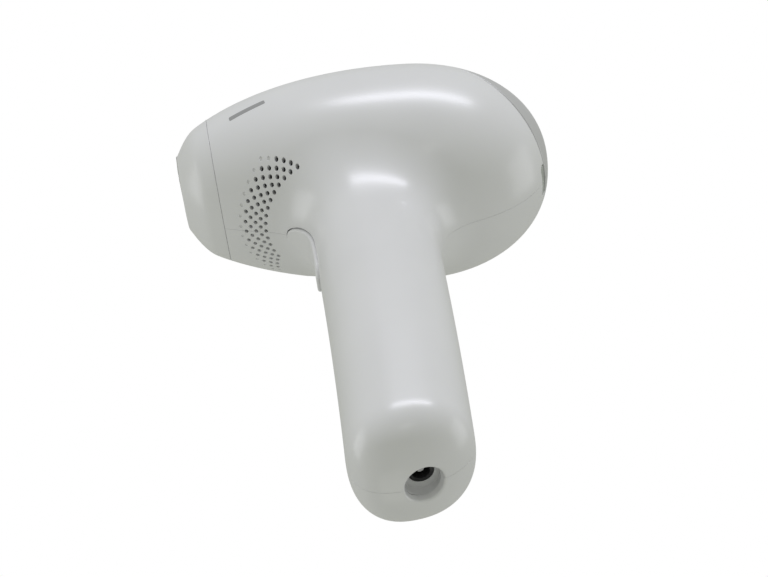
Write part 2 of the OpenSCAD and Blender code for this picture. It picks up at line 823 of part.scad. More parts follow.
module capacitor_clamp() {
  color([0.25, 0.25, 0.26]) at_grip(cap_top) translate([0, -0.8, -cap_len / 2 - 6]) difference() {
    cylinder(r = cap_r + 1.5, h = 12, $fn = fine);
    translate([0, 0, -1]) cylinder(r = cap_r + 0.05, h = 14, $fn = fine);
  }
}

module capacitor_terminals() {
  color([0.75, 0.76, 0.78]) at_grip(cap_top) for (x = [-5, 5]) translate([x, -0.8, 0]) {
    cylinder(r = 2.2, h = 1.5, $fn = fine);
    translate([-0.4, -1.5, 1.4]) cube([0.8, 3, 4]);
  }
}

function grip_pt(s, x, y) = [0, grip_y, head_z] + down * s + [x, 0, 0] + back * y;
lead_r = 0.7;
// Leads to the lamp and from the input board, on side m of the mid-plane.
module leads(m) {
  as_mesh() {
    wire([
      grip_pt(53.5, 5 * m, -0.8), grip_pt(44, 6 * m, 2), [10 * m, 74, -22], [22 * m, 70.5, -12],
      [22.2 * m, 46, -4], [22 * m, 38, 2]
    ], lead_r);
    wire([
      grip_pt(137, 6 * m, 8.95), grip_pt(124, 8 * m, 9.2), grip_pt(115, 10.2 * m, 9.4),
      grip_pt(58, 10.4 * m, 10.2), [10.4 * m, 79.5, -34], [14 * m, 85, -17], [14 * m, 85, pcb_z]
    ], lead_r);
  }
}

module red_leads() {
  color([0.7, 0.12, 0.1]) leads(1);
}

module black_leads() {
  color([0.08, 0.08, 0.08]) leads(-1);
}

module input_board() {
  color([0.1, 0.36, 0.22]) at_grip(0) block([-8, 8], [7, 8.2], [-139, -122]);
}

module line_choke() {
  color([0.3, 0.5, 0.3]) at_grip(129.5) translate([0, 5.4, 0]) rotate([90, 0, 0]) rotate_extrude($fn = fine)
    translate([4, 0]) circle(1.55, $fn = 24);
}

inlet_lip = 3.2;
jack_z = inlet_lip + inlet_depth;
module inlet_cup() {
  color([0.92, 0.92, 0.93]) at_inlet() difference() {
    translate([0, 0, inlet_lip + 0.05]) cylinder(r = inlet_r + 1.2, h = inlet_depth + 1.3, $fn = fine);
    translate([0, 0, inlet_lip]) cylinder(r = inlet_r, h = inlet_depth, $fn = fine);
    translate([0, 0, jack_z - 1]) cylinder(r = 3.5, h = 4, $fn = fine);
  }
}

module inlet_jack() {
  color([0.07, 0.07, 0.08]) at_inlet() difference() {
    union() {
      translate([0, 0, jack_z]) cylinder(r = 3.4, h = 3, $fn = fine);
      block([-4.5, 4.5], [-4.5, 5.5], [jack_z + 1.5, jack_z + 12]);
    }
    translate([0, 0, jack_z - 1]) cylinder(r = 2.4, h = 10, $fn = fine);
  }
}

module inlet_pin() {
  color([0.75, 0.76, 0.78]) at_inlet() {
    translate([0, 0, jack_z + 1]) cylinder(r = 1, h = 8, $fn = fine);
    for (x = [-2.5, 2.5]) block([x - 0.4, x + 0.4], [0, 1], [jack_z + 12, jack_z + 15]);
  }
}

module casing_screws() {
  color([0.7, 0.7, 0.72]) for (i = [0:3]) translate(screw_at(i)) rotate([0, -90, 0]) {
    translate([0, 0, -7]) cylinder(r = screw_r, h = 7 + screw_face, $fn = fine);
    translate([0, 0, screw_face + 0.02]) difference() {
      cylinder(r = 2.7, h = 2, $fn = fine);
      translate([0, 0, 1]) rotate([0, 0, 45]) cylinder(r = 1.2, h = 2, $fn = 4);
    }
  }
}

// A plain bar on the side of the head.
module side_mark_bar(top, bottom) {
  intersection() {
    difference() {
      head_solid(top);
      head_solid(bottom);
    }
    translate([0, 26.4, -0.1]) rotate([18, 0, 0]) translate([0, -6.2, -1.3]) cube([60, 12.4, 2.6]);
  }
}

module side_mark() {
  color([0.45, 0.45, 0.47]) as_mesh() intersection() {
    difference() {
      head_solid(0);
      head_solid(-0.35);
    }
    translate([0, 26.4, -0.1]) rotate([18, 0, 0]) translate([0, -6.1, -1.2]) cube([60, 12.2, 2.4]);
  }
}

housing_right();
housing_left();
control_panel();
power_button();
intensity_up_button();
intensity_down_button();
intensity_lights();
intensity_leds();
control_board();
button_switches();
ready_light_window();
ready_led();
flash_trigger();
trigger_spring();
flash_switch();
flash_switch_plunger();
attachment_shell();
window_frame();
attachment_contacts();
front_bezel();
contact_pins();
window_glass();
filter_glass();
lamp_reflector();
flash_lamp();
lamp_electrodes();
lamp_holders();
optical_housing();
heat_sink();
air_duct();
fan_housing();
fan_motor();
fan_rotor();
main_board();
transformer_core();
transformer_coil();
trigger_coil();
board_capacitors();
power_transistor();
main_capacitor();
capacitor_clamp();
capacitor_terminals();
red_leads();
black_leads();
input_board();
line_choke();
inlet_cup();
inlet_jack();
inlet_pin();
casing_screws();
side_mark();
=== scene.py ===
import json
import math
import bmesh
import bpy
import numpy as np
from mathutils import Matrix, Vector
from mathutils.bvhtree import BVHTree
from mathutils.geometry import delaunay_2d_cdt

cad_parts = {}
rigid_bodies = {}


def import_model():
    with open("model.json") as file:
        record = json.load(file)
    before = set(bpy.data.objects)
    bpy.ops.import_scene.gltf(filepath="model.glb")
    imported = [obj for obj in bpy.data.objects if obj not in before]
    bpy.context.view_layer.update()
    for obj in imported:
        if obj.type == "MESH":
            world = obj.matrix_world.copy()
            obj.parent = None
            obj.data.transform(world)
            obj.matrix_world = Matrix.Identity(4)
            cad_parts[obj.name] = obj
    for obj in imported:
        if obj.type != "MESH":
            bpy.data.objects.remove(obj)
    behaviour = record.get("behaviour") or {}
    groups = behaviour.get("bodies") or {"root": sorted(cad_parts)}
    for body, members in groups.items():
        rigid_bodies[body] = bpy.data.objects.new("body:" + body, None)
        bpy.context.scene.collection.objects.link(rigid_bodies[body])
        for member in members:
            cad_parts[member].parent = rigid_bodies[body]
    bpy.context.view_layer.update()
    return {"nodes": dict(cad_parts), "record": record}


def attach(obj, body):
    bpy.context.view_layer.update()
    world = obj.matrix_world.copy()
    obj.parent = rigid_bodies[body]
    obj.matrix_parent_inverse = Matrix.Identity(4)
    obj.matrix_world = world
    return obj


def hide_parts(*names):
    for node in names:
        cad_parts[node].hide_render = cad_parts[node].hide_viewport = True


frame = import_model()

for stray in [o for o in bpy.data.objects if o.type in {"LIGHT", "CAMERA"} or o.name == "Cube"]:
    bpy.data.objects.remove(stray)
MM = 0.001
BODY = "handpiece"

# ---------------------------------------------------------------- shape, in mm, as in the CAD source
HEAD_W, HEAD_H = 35.0, 36.5
HEAD = np.array([0.0, 75.5, 4.2])
NOSE_LEN, TAIL_LEN, TAIL_POWER, NOSE_DROP, NOSE_PINCH = 86.0, 46.0, 2.15, 2.8, 0.07
FACE_TILT, SEAM = 14.0, 12.0
TRIGGER_TURN, INLET_TILT = 112.6, 15.6
GRIP_Y, LEAN, GRIP_LEN = 59.7, 11.4, 156.5
GRIP_W, GRIP_D, GRIP_POWER = (19.6, 17.9), (19.2, 16.5), 2.3
BOW, BOW_FROM, DOME, DOME_POWER, END_SLANT = 3.4, 30.0, 14.0, 2.4, 0.13
NECK_BLEND, NECK_SIDE, NECK_AT = 15.0, 8.5, 45.0
PANEL_CUT, PANEL_TILT = 22.84, 40.0
WALL = 2.2
FAR = 90.0  # further than the surface is from any point inside
X = np.array([1.0, 0.0, 0.0])


def turned(deg):
    """Axes (x, y, z) of a frame turned about X, as rows."""
    c, s = math.cos(math.radians(deg)), math.sin(math.radians(deg))
    return np.array([[1, 0, 0], [0, c, s], [0, -s, c]], float)


GRIP = turned(LEAN)
DOWN, BACK = -GRIP[2], GRIP[1]
ROOT = np.array([0.0, GRIP_Y, HEAD[2]])
FRONT = turned(FACE_TILT)
PANEL = turned(-PANEL_TILT)
TRIGGER = turned(TRIGGER_TURN)
TRIGGER_POS = np.array([0.0, 47.55, -45.5])
INLET = turned(INLET_TILT)


def head_k(d):
    """Size of the head's section at distance d behind its widest one, as a share of that one."""
    front = np.sqrt(np.clip(1 - (np.minimum(d, 0) / NOSE_LEN) ** 2, 0, 1))
    rear = np.clip(1 - (np.maximum(d, 0) / TAIL_LEN) ** TAIL_POWER, 0, 1) ** (1 / TAIL_POWER)
    return np.where(d < 0, front, rear)


def head_f(p):
    """Below zero inside the head."""
    d = p[..., 1] - HEAD[1]
    k = np.maximum(head_k(d), 1e-4)
    mid = np.where(d < 0, -NOSE_DROP * (d / 60) ** 2, 0.0)
    outside = (d < -NOSE_LEN) | (d > TAIL_LEN)
    side = k * (1 - NOSE_PINCH * (-np.clip(d, -90, 0) / 75) ** 5)
    f = (p[..., 0] / (HEAD_W * side)) ** 2 + ((p[..., 2] - HEAD[2] - mid) / (HEAD_H * k)) ** 2 - 1
    return np.where(outside, 1e3, f)


def reach(start, direction, hi):
    """Distance from inside the head to its surface."""
    lo = np.zeros(np.broadcast(start[..., 0], direction[..., 0]).shape)
    hi = lo + hi
    for _ in range(40):
        m = (lo + hi) / 2
        inside = head_f(start + direction * m[..., None]) < 0
        lo, hi = np.where(inside, m, lo), np.where(inside, hi, m)
    return (lo + hi) / 2


def bow(s):
    """How far the handle's axis has curved forward at distance s."""
    return -BOW * (np.maximum(s - BOW_FROM, 0) / (GRIP_LEN - BOW_FROM)) ** 2


def grip_r(phi, s):
    """Handle radius at azimuth phi and distance s down its axis."""
    w = (s - BOW_FROM) / (GRIP_LEN - BOW_FROM)
    a = GRIP_W[0] + (GRIP_W[1] - GRIP_W[0]) * w
    b = GRIP_D[0] + (GRIP_D[1] - GRIP_D[0]) * w
    q = GRIP_POWER
    return (np.abs(np.cos(phi) / a) ** q + np.abs(np.sin(phi) / b) ** q) ** (-1 / q)


def along(phi):
    """Directions square to the handle's axis."""
    return np.cos(phi)[..., None] * X + np.sin(phi)[..., None] * BACK


def body_grid(n_phi=288, n_head=112, n_neck=18, n_grip=46, n_dome=26):
    """Rings of points from the top of the head, over it, down the neck and handle to the rounded end."""
    phi = np.arange(n_phi) * 2 * np.pi / n_phi
    u = along(phi)
    r_h = grip_r(phi, np.full(n_phi, NECK_AT))
    r2 = r_h + NECK_SIDE + (NECK_BLEND - NECK_SIDE) * np.sin(phi) ** 2
    s2 = reach(ROOT + u * r2[:, None], np.broadcast_to(DOWN, u.shape), 60.0)
    p2 = ROOT + u * r2[:, None] + DOWN * s2[:, None]
    e = 0.05
    g_r = head_f(p2 + u * e) - head_f(p2 - u * e)
    g_s = head_f(p2 + DOWN * e) - head_f(p2 - DOWN * e)
    s1 = s2 + (r2 - r_h) * g_r / g_s
    span = np.hypot(r2 - r_h, s1 - s2)
    s0 = s1 + span
    psi2 = np.arctan2(r2, -s2)
    rings = []
    for i in range(1, n_head):
        psi = psi2 * i / n_head
        v = -DOWN * np.cos(psi)[:, None] + u * np.sin(psi)[:, None]
        rings.append(ROOT + v * reach(np.broadcast_to(ROOT, v.shape), v, FAR)[:, None])
    keep = 0.7
    for i in range(n_neck + 1):
        t = i / n_neck
        r = [r2, r2 + (r_h - r2) * keep, r_h, grip_r(phi, s0)]
        s = [s2, s2 + (s1 - s2) * keep, s0 + (s1 - s0) * keep, s0]
        c = [(1 - t) ** 3, 3 * t * (1 - t) ** 2, 3 * t * t * (1 - t), t ** 3]
        rr = sum(k * x for k, x in zip(c, r))
        ss = sum(k * x for k, x in zip(c, s))
        rings.append(ROOT + DOWN * ss[:, None] + BACK * bow(ss)[:, None] + u * rr[:, None])
    flat = GRIP_LEN - DOME
    for i in range(1, n_grip + 1):
        s = s0 + (flat - s0) * i / n_grip
        rings.append(ROOT + DOWN * s[:, None] + BACK * bow(s)[:, None] + u * grip_r(phi, s)[:, None])
    for i in range(1, n_dome):
        z = math.sin(math.pi / 2 * i / n_dome)
        k = (1 - z ** DOME_POWER) ** (1 / DOME_POWER)
        s = np.full(n_phi, flat + DOME * z)
        wide = grip_r(phi, s) * k
        low = s - END_SLANT * z * wide * np.sin(phi)
        rings.append(ROOT + DOWN * low[:, None] + BACK * bow(s)[:, None] + u * wide[:, None])
    top = (ROOT - DOWN * reach(ROOT[None], -DOWN[None], FAR))[None]
    tip = (ROOT + DOWN * GRIP_LEN + BACK * bow(np.array(GRIP_LEN)))[None]
    pts = np.concatenate([top] + rings + [tip])
    m, n = len(rings), n_phi
    faces = [(0, 1 + (i + 1) % n, 1 + i) for i in range(n)]
    for j in range(m - 1):
        a, b = 1 + j * n, 1 + (j + 1) * n
        faces += [(a + i, a + (i + 1) % n, b + (i + 1) % n, b + i) for i in range(n)]
    last = 1 + (m - 1) * n
    faces += [(last + i, last + (i + 1) % n, len(pts) - 1) for i in range(n)]
    return pts, faces


def point_normals(pts, faces):
    """Normals at the points of a mesh."""
    me = bpy.data.meshes.new("tmp")
    me.from_pydata(pts.tolist(), [], faces)
    me.update()
    nor = np.empty(len(pts) * 3)
    me.vertex_normals.foreach_get("vector", nor)
    bpy.data.meshes.remove(me)
    return nor.reshape(-1, 3)


def parity(q, a, b):
    """True for the points of q inside the closed outlines whose edges run from a to b."""
    inside = np.zeros(len(q), bool)
    for p0, p1 in zip(a, b):
        if p0[1] == p1[1]:
            continue
        hit = (p0[1] > q[:, 1]) != (p1[1] > q[:, 1])
        x = p0[0] + (q[:, 1] - p0[1]) * (p1[0] - p0[0]) / (p1[1] - p0[1])
        inside ^= hit & (q[:, 0] < x)
    return inside


class Skin:
    """The smooth outer surface, for nearest points, normals and rays."""

    def __init__(self, pts, faces):
        self.pts, self.faces = pts, faces
        self.normals = point_normals(pts, faces)
        self.tree = BVHTree.FromPolygons(pts.tolist(), faces)

    def normal(self, p):
        where, _, i, _ = self.tree.find_nearest(p)
        f = self.faces[i]
        w = 1 / (((self.pts[list(f)] - np.array(where)) ** 2).sum(1) + 1e-9)
        n = (self.normals[list(f)] * w[:, None]).sum(0)
        return n / np.linalg.norm(n)

    def hit(self, start, direction):
        where = self.tree.ray_cast(Vector(start), Vector(direction))[0]
        if where is None:
            raise ValueError(f"a ray from {start} misses the surface")
        return np.array(where)

    def under(self, origin, axes, p, height=70.0):
        """The surface point below p, drawn in a frame whose z axis leaves the surface."""
        return self.hit(origin + axes[0] * p[0] + axes[1] * p[1] + axes[2] * height, -axes[2])


def circle(x, y, r, n=32):
    t = np.arange(n) * 2 * np.pi / n
    return np.stack([x + r * np.cos(t), y + r * np.sin(t)], 1)


def rounded(w, h, r, n=12):
    """Outline of a rectangle of half sizes w and h with corner radius r."""
    out = []
    for k, (cx, cy) in enumerate([(w - r, h - r), (r - w, h - r), (r - w, r - h), (w - r, r - h)]):
        for i in range(n + 1):
            t = math.pi / 2 * (k + i / n)
            out.append((cx + r * math.cos(t), cy + r * math.sin(t)))
    out = np.array(out)
    keep = np.linalg.norm(out - np.roll(out, 1, 0), axis=1) > 1e-4
    return out[keep]


def finer(outline, step):
    """The same outline with its long edges split."""
    out = []
    for p, q in zip(outline, np.roll(outline, -1, 0)):
        n = max(1, int(math.ceil(np.linalg.norm(q - p) / step)))
        out += [p + (q - p) * i / n for i in range(n)]
    return np.array(out)


def tongue(w, h, n=96):
    """Outline of the trigger: straight sides and ends that narrow to a round tip."""
    t = np.arange(n) * 2 * np.pi / n
    c, s = np.cos(t), np.sin(t)
    return np.stack([w * np.sign(c) * np.abs(c) ** (2 / 2.6), h * np.sign(s) * np.abs(s) ** (2 / 2.2)], 1)


class Sheet:
    """An open part of the outer surface."""

    def __init__(self, pts, faces):
        self.pts, self.faces = np.array(pts), [tuple(f) for f in faces]

    def copy(self):
        return Sheet(self.pts, self.faces)

    def cut(self, skin, origin, axes, outlines, grow, low, high):
        """Opens the outlines, drawn in a frame whose z axis leaves the surface."""
        axes = np.array(axes)
        q = (self.pts - origin) @ axes.T
        flat = np.concatenate(outlines)
        lo, hi = flat.min(0) - grow - 1, flat.max(0) + grow + 1
        near = (q[:, 2] > low) & (q[:, 2] < high) & (q[:, :2] > lo).all(1) & (q[:, :2] < hi).all(1)
        near = np.nonzero(near)[0]
        near = near[[skin.normal(self.pts[i]) @ axes[2] > 0.1 for i in near]]
        qn = q[near, :2]
        gap = np.full(len(qn), 1e9)
        for s in range(0, len(flat), 64):
            d = np.linalg.norm(qn[:, None] - flat[None, s:s + 64], axis=2).min(1)
            gap = np.minimum(gap, d)
        inside = parity(qn, flat, np.concatenate([np.roll(o, -1, 0) for o in outlines]))
        bad = set(near[(gap < grow) | inside].tolist())
        free = near[(gap > 0.35) & (gap < grow) & ~inside].tolist()
        gone = [f for f in self.faces if any(v in bad for v in f)]
        stay = [f for f in self.faces if not any(v in bad for v in f)]
        edges = {(f[i], f[(i + 1) % len(f)]) for f in gone for i in range(len(f))}
        edge = [e for e in edges if (e[1], e[0]) not in edges]
        ring = sorted({v for e in edge for v in e})
        free = [v for v in free if v not in set(ring)]
        old = ring + free
        at = {v: i for i, v in enumerate(old)}
        co = [q[v, :2] for v in old] + list(flat)
        links = [(at[u], at[v]) for u, v in edge]
        k = len(old)
        for o in outlines:
            links += [(k + i, k + (i + 1) % len(o)) for i in range(len(o))]
            k += len(o)
        new = [skin.under(origin, axes, p, high + 30) for p in flat]
        cv, _, cf, ov, _, _ = delaunay_2d_cdt([Vector(c) for c in co], links, [], 0, 1e-5)
        mid = np.array([np.mean([cv[i] for i in f], 0) for f in cf])
        corner, link = np.array(co), np.array(links)
        good = parity(mid, corner[link[:, 0]], corner[link[:, 1]])
        base = len(self.pts)
        self.pts = np.concatenate([self.pts, new])
        name = [(old[o[0]] if o[0] < len(old) else base + o[0] - len(old)) for o in ov]
        self.faces = stay + [tuple(name[i] for i in f) for f, g in zip(cf, good) if g]

    def keep(self, point, normal):
        """Keeps the side of a plane that its normal points to."""
        bm = bmesh.new()
        vs = [bm.verts.new(p) for p in self.pts]
        for f in self.faces:
            bm.faces.new([vs[i] for i in f])
        geom = list(bm.verts) + list(bm.edges) + list(bm.faces)
        bmesh.ops.bisect_plane(bm, geom=geom, dist=0.004, plane_co=point, plane_no=normal, clear_inner=True)
        point, normal = Vector(point), Vector(normal)
        rim = [v for v in bm.verts if v.is_boundary and abs((v.co - point).dot(normal)) < 0.01]
        bmesh.ops.remove_doubles(bm, verts=rim, dist=0.06)
        bm.verts.index_update()
        self.pts = np.array([v.co[:] for v in bm.verts])
        self.faces = [tuple(v.index for v in f.verts) for f in bm.faces]
        bm.free()

    def tidy(self):
        """Drops the points that no face uses."""
        used = sorted({v for f in self.faces for v in f})
        at = {v: i for i, v in enumerate(used)}
        self.pts = self.pts[used]
        self.faces = [tuple(at[v] for v in f) for f in self.faces]


class Solid:
    """Points, faces and corner normals of one closed piece."""

    def __init__(self):
        self.pts, self.faces, self.normals = [], [], []

    def add(self, pts, faces, normals=None):
        base = len(self.pts)
        self.pts += [tuple(p) for p in pts]
        for f in faces:
            self.faces.append(tuple(i + base for i in f))
            self.normals.append([normals[i] for i in f] if normals is not None else [(0, 0, 0)] * len(f))

    def make(self, name, material, body, nodes, smooth=35):
        _, first, same = np.unique(np.round(self.pts, 5), axis=0, return_index=True, return_inverse=True)
        pts = np.array(self.pts)[first] * MM
        same = same.reshape(-1)
        me = bpy.data.meshes.new(name)
        me.from_pydata(pts.tolist(), [], [tuple(int(same[i]) for i in f) for f in self.faces])
        me.update()
        for p in me.polygons:
            p.use_smooth = True
        me.set_sharp_from_angle(angle=math.radians(smooth))
        flat = [tuple(n) for f in self.normals for n in f]
        if flat[0] != (0, 0, 0):
            me.normals_split_custom_set(flat)
        me.materials.append(material)
        o = bpy.data.objects.new(name, me)
        bpy.context.collection.objects.link(o)
        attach(o, body)
        if nodes:
            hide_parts(*nodes)
        return o


ROWS = 4  # bands of faces round a rounded rim


def shell(solid, sheet, skin, rim, wall, rise=0.0, blind=()):
    """Thickens a sheet inwards, with rounded rims at its edges.

    rim gives an edge's radius from its middle. blind lists the centre and depth of each hole that isn't a
    through hole.
    """
    sheet.tidy()
    nor = np.array([skin.normal(p) for p in sheet.pts])
    pts = sheet.pts + nor * rise
    inner = pts - nor * wall
    edges = {(f[i], f[(i + 1) % len(f)]) for f in sheet.faces for i in range(len(f))}
    edge = [e for e in edges if (e[1], e[0]) not in edges]
    after = dict(edge)
    before = {b: a for a, b in edge}
    if len(after) != len(edge):
        print("border touches itself", len(edge) - len(after))
    solid.add(pts, sheet.faces, nor)
    shift, side, deep = {}, {}, {}
    for v in after:
        m = []
        for a, b in ((before[v], v), (v, after[v])):
            t = np.cross(pts[b] - pts[a], nor[v])
            m.append((t / max(np.linalg.norm(t), 1e-9), rim((sheet.pts[a] + sheet.pts[b]) / 2)))
        (t1, r1), (t2, r2) = m
        c = float(t1 @ t2)
        if c > 0.95 or c < -0.9:
            d = t1 + t2
            s = d / max(np.linalg.norm(d), 1e-9) * (r1 + r2) / 2
        else:
            s = (t1 * (r1 - c * r2) + t2 * (r2 - c * r1)) / (1 - c * c)
        size = np.linalg.norm(s)
        top = 2.2 * max(r1, r2)
        shift[v] = s * min(1, top / max(size, 1e-9))
        side[v] = s / max(size, 1e-9)
        deep[v] = (r1 + r2) / 2
    loops, seen = [], set()
    for v in after:
        if v in seen:
            continue
        loop, w = [], v
        while w not in seen:
            seen.add(w)
            loop.append(w)
            w = after[w]
        loops.append(loop)
    fills = []
    for loop in loops:
        centre = sheet.pts[loop].mean(0)
        depth = next((d for c, d in blind if np.linalg.norm(centre - c) < 0.5), None)
        m = len(loop)
        rows, row_n = [], []
        for k in range(ROWS + 1):
            t = math.pi / 2 * k / ROWS
            c, s = math.cos(t), math.sin(t)
            rows.append([pts[v] + shift[v] * s - nor[v] * deep[v] * (1 - c) for v in loop])
            row_n.append([nor[v] * c + side[v] * s for v in loop])
        strip = [((i + 1) % m, i, i + m, (i + 1) % m + m) for i in range(m)]
        for k in range(ROWS):
            solid.add(rows[k] + rows[k + 1], strip, row_n[k] + row_n[k + 1])
        end = wall if depth is None else depth
        low = [pts[v] + shift[v] - nor[v] * end for v in loop]
        wall_n = [side[v] for v in loop]
        solid.add(rows[ROWS] + low, strip, wall_n * 2)
        if depth is None:
            solid.add(low + [inner[v] for v in loop], strip, [-nor[v] for v in loop] * 2)
        else:
            solid.add(low, [tuple(range(m))[::-1]], [nor[v] for v in loop])
            fills.append(tuple(loop))
    solid.add(inner, [f[::-1] for f in sheet.faces] + fills, -nor)


def tube(solid, start, axis, r_out, r_in, length, n=32):
    """A closed tube along axis."""
    axis = np.array(axis, float)
    a = np.cross(axis, X if abs(axis[0]) < 0.9 else np.array([0.0, 1.0, 0.0]))
    a /= np.linalg.norm(a)
    b = np.cross(axis, a)
    t = np.arange(n) * 2 * np.pi / n
    ring = np.cos(t)[:, None] * a + np.sin(t)[:, None] * b
    start = np.array(start)
    end = start + axis * length
    stack = [start + ring * r_out, end + ring * r_out, end + ring * r_in, start + ring * r_in]
    faces = []
    for k in range(4):
        p, q = k * n, (k + 1) % 4 * n
        faces += [(p + i, p + (i + 1) % n, q + (i + 1) % n, q + i) for i in range(n)]
    solid.add(np.concatenate(stack), faces)


def loft(solid, rings, closed=False):
    """Joins rings of points that all have the same count; an open loft gets end faces."""
    n, m = len(rings[0]), len(rings)
    faces = []
    for j in range(m if closed else m - 1):
        p, q = j * n, (j + 1) % m * n
        faces += [(p + i, p + (i + 1) % n, q + (i + 1) % n, q + i) for i in range(n)]
    if not closed:
        faces += [tuple(range(n))[::-1], tuple(range((m - 1) * n, m * n))]
    solid.add(np.concatenate(rings), faces)


# ---------------------------------------------------------------- materials
def material(name, colour, rough, metal=0.0, **more):
    """A surface with fine grain in its gloss and relief and wide patches in its colour.

    more: grain and patch (mm), spread of the gloss, relief, tint, coat, coat_rough, clear, soft, ior,
    stretch.
    """
    m = bpy.data.materials.new(name)
    m.use_nodes = True
    nt = m.node_tree
    b = nt.nodes["Principled BSDF"]
    b.inputs["Metallic"].default_value = metal
    b.inputs["IOR"].default_value = more.get("ior", 1.5)
    if more.get("coat"):
        b.inputs["Coat Weight"].default_value = more["coat"]
        b.inputs["Coat Roughness"].default_value = more.get("coat_rough", 0.15)
    if more.get("clear"):
        b.inputs["Transmission Weight"].default_value = more["clear"]
    if more.get("soft"):
        b.inputs["Subsurface Weight"].default_value = more["soft"]
        b.inputs["Subsurface Radius"].default_value = (0.003, 0.003, 0.0025)
        b.inputs["Subsurface Scale"].default_value = 0.5
    co = nt.nodes.new("ShaderNodeTexCoord")
    at = nt.nodes.new("ShaderNodeMapping")
    at.inputs["Scale"].default_value = more.get("stretch", (1, 1, 1))
    nt.links.new(co.outputs["Object"], at.inputs["Vector"])

    def noise(size_mm, detail=3.0):
        n = nt.nodes.new("ShaderNodeTexNoise")
        n.inputs["Scale"].default_value = 1000 / size_mm
        n.inputs["Detail"].default_value = detail
        n.inputs["Roughness"].default_value = 0.55
        nt.links.new(at.outputs["Vector"], n.inputs["Vector"])
        return n

    def ramp(source, values, ends=(0.3, 0.7)):
        r = nt.nodes.new("ShaderNodeValToRGB")
        for e, p, v in zip(r.color_ramp.elements, ends, values):
            e.position = p
            e.color = (*v, 1) if not isinstance(v, float) else (v, v, v, 1)
        nt.links.new(source.outputs["Fac"], r.inputs["Fac"])
        return r

    tint = more.get("tint", 0.025)
    low = tuple(c * (1 - tint) for c in colour)
    high = tuple(min(1, c * (1 + tint)) for c in colour)
    wide = noise(more.get("patch", 45))
    nt.links.new(ramp(wide, (low, high)).outputs["Color"], b.inputs["Base Color"])
    grain = noise(more.get("grain", 0.5), 4.0)
    spread = more.get("spread", 0.12)
    r = ramp(grain, (max(0.02, rough * (1 - spread)), min(1.0, rough * (1 + spread))), (0.25, 0.75))
    nt.links.new(r.outputs["Color"], b.inputs["Roughness"])
    bump = nt.nodes.new("ShaderNodeBump")
    bump.inputs["Strength"].default_value = more.get("relief", 0.06)
    bump.inputs["Distance"].default_value = 0.0001
    nt.links.new(grain.outputs["Fac"], bump.inputs["Height"])
    nt.links.new(bump.outputs["Normal"], b.inputs["Normal"])
    return m


FINISH = {
    "white_shell": material("white_shell", (0.80, 0.80, 0.815), 0.33, coat=0.35, coat_rough=0.2, relief=0.05,
                            soft=0.06),
    "white_attachment": material("white_attachment", (0.79, 0.79, 0.80), 0.36, coat=0.3, coat_rough=0.24,
                                 relief=0.05, soft=0.06),
    "white_button": material("white_button", (0.78, 0.78, 0.79), 0.4, coat=0.2, coat_rough=0.3, relief=0.08),
    "silver_panel": material("silver_panel", (0.60, 0.60, 0.61), 0.42, 0.3, grain=0.25, spread=0.3,
                             relief=0.1, coat=0.25, coat_rough=0.25),
    "light_lens": material("light_lens", (0.5, 0.53, 0.5), 0.2, clear=0.25, relief=0.03, ior=1.49),
    "led": material("led", (0.85, 0.82, 0.62), 0.3, clear=0.2, relief=0.03),
    "grey_print": material("grey_print", (0.34, 0.34, 0.345), 0.48, grain=0.3, relief=0.06),
    "board": material("board", (0.03, 0.16, 0.075), 0.4, grain=0.4, patch=3, tint=0.18, relief=0.1, coat=0.3),
    "black_plastic": material("black_plastic", (0.02, 0.02, 0.022), 0.38, grain=0.4, tint=0.15, relief=0.09),
    "dark_plastic": material("dark_plastic", (0.06, 0.06, 0.062), 0.5, grain=0.4, tint=0.12, relief=0.12),
    "heat_plastic": material("heat_plastic", (0.045, 0.042, 0.04), 0.55, grain=0.6, tint=0.12, relief=0.14),
    "red_plastic": material("red_plastic", (0.5, 0.03, 0.02), 0.4, grain=0.5, tint=0.08, relief=0.06),
    "bright_metal": material("bright_metal", (0.62, 0.62, 0.63), 0.2, 1.0, grain=0.4, tint=0.05, spread=0.35,
                             stretch=(0.15, 1, 1), relief=0.05),
    "steel": material("steel", (0.55, 0.55, 0.56), 0.3, 1.0, grain=0.3, tint=0.08, spread=0.3,
                      stretch=(1, 1, 0.2), relief=0.08),
    "gold_contact": material("gold_contact", (0.8, 0.56, 0.2), 0.24, 1.0, grain=0.3, tint=0.06, spread=0.3,
                             relief=0.05),
    "aluminium": material("aluminium", (0.68, 0.69, 0.7), 0.34, 1.0, grain=0.5, tint=0.06, spread=0.25,
                          stretch=(0.2, 1, 1), relief=0.08),
    "clear_glass": material("clear_glass", (0.93, 0.96, 0.97), 0.04, clear=0.95, relief=0.01, tint=0.01),
    "filter_glass": material("filter_glass", (0.85, 0.3, 0.1), 0.06, clear=0.8, relief=0.01, tint=0.03),
    "ceramic": material("ceramic", (0.8, 0.78, 0.72), 0.62, grain=0.35, relief=0.2, tint=0.05),
    "copper_winding": material("copper_winding", (0.6, 0.22, 0.08), 0.35, 0.7, grain=0.5, stretch=(0.1, 1, 3),
                               relief=0.5, spread=0.3, tint=0.15),
    "ferrite": material("ferrite", (0.05, 0.05, 0.055), 0.7, grain=0.3, relief=0.25, tint=0.15),
    "capacitor_sleeve": material("capacitor_sleeve", (0.03, 0.06, 0.16), 0.3, grain=0.6, relief=0.05,
                                 coat=0.3),
}

slots = {p["node"]: p["material_slot"] for p in frame["record"]["subparts"]}
